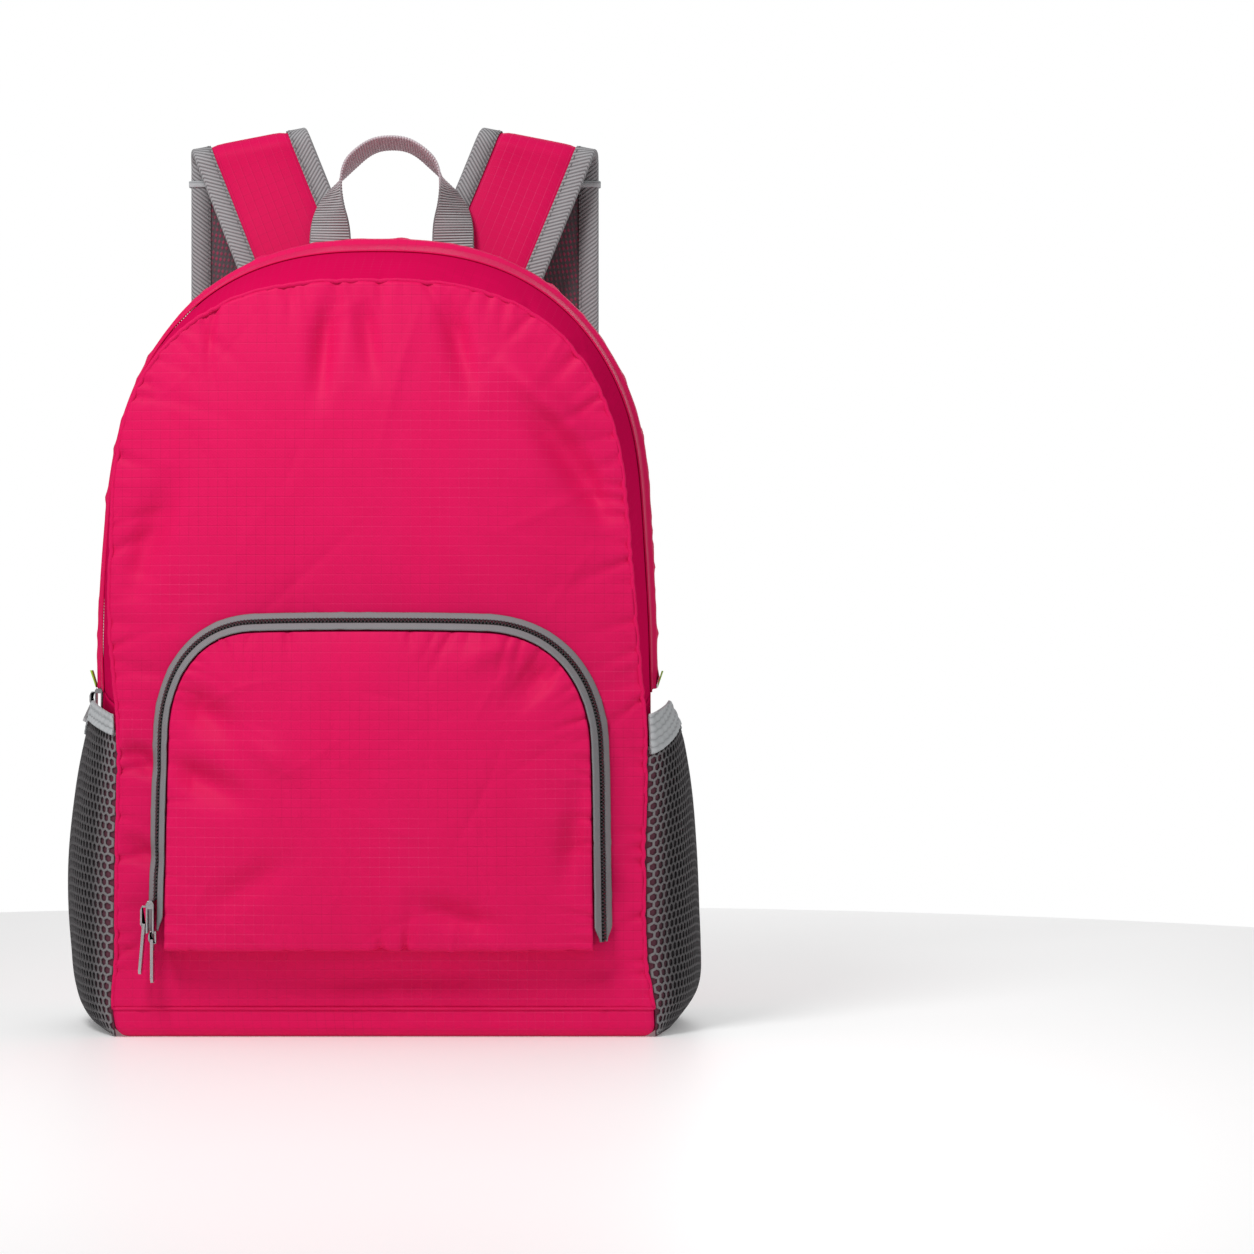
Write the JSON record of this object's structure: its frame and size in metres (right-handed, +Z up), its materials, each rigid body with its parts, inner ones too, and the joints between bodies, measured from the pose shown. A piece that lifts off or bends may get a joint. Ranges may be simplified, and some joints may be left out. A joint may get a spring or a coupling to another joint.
{
  "type": "packable ripstop backpack",
  "caption": "Light zip-top daypack of ripstop cloth with an arched zipped front pocket, net side pockets, a grab handle and folded shoulder straps.",
  "frame": {"origin": "middle of the base, on the ground", "axes": "+X to the viewer's right when facing the front pocket, +Y from the front pocket towards the wearer's back, +Z up"},
  "size_m": [0.3653, 0.2444, 0.5307],
  "materials": {
    "ripstop_cloth": "ripstop weave",
    "dark_net": "hexagonal net",
    "grey_webbing": "ribbed weave",
    "light_elastic": "ribbed elastic",
    "zip_coil": "nylon coil",
    "lime_tape": "woven tape",
    "zip_metal": "satin",
    "grey_plastic": "moulded"
  },
  "bodies": {
    "bag": {"front_panel": "ripstop_cloth", "back_panel": "ripstop_cloth", "base_panel": "ripstop_cloth", "gusset_front": "ripstop_cloth", "gusset_rear": "ripstop_cloth", "side_left": "ripstop_cloth", "side_right": "ripstop_cloth", "zip_flap": "ripstop_cloth", "front_pocket": "ripstop_cloth", "strap_left": "ripstop_cloth", "strap_right": "ripstop_cloth", "net_left": "dark_net", "net_right": "dark_net", "strap_net_left": "dark_net", "strap_net_right": "dark_net", "main_zip_tape": "grey_webbing", "pocket_tape_outer": "grey_webbing", "pocket_tape_inner": "grey_webbing", "grab_handle": "grey_webbing", "binding_outer_left": "grey_webbing", "binding_outer_right": "grey_webbing", "binding_inner_left": "grey_webbing", "binding_inner_right": "grey_webbing", "adjuster_loop_left": "grey_webbing", "adjuster_loop_right": "grey_webbing", "webbing_left": "grey_webbing", "webbing_right": "grey_webbing", "elastic_left": "light_elastic", "elastic_right": "light_elastic", "keeper_left": "light_elastic", "keeper_right": "light_elastic", "main_zip_coil": "zip_coil", "pocket_coil": "zip_coil", "end_loop_left": "lime_tape", "end_loop_right": "lime_tape", "pocket_slider": "zip_metal", "main_slider": "zip_metal", "main_pull": "zip_metal", "adjuster_left": "grey_plastic", "adjuster_right": "grey_plastic"},
    "outer_pull": {"pull_outer": "zip_metal"},
    "inner_pull": {"pull_inner": "zip_metal"}
  },
  "joints": [
    {"name": "outer_pull_hinge", "type": "hinge", "parent": "bag", "child": "outer_pull", "pos_m": [-0.12553, -0.09848, 0.0639], "axis": [0, 1, 0], "range_deg": [-4, 140]},
    {"name": "inner_pull_hinge", "type": "hinge", "parent": "bag", "child": "inner_pull", "pos_m": [-0.12113, -0.09848, 0.05525], "axis": [0, 1, 0], "range_deg": [-40, 6]}
  ]
}
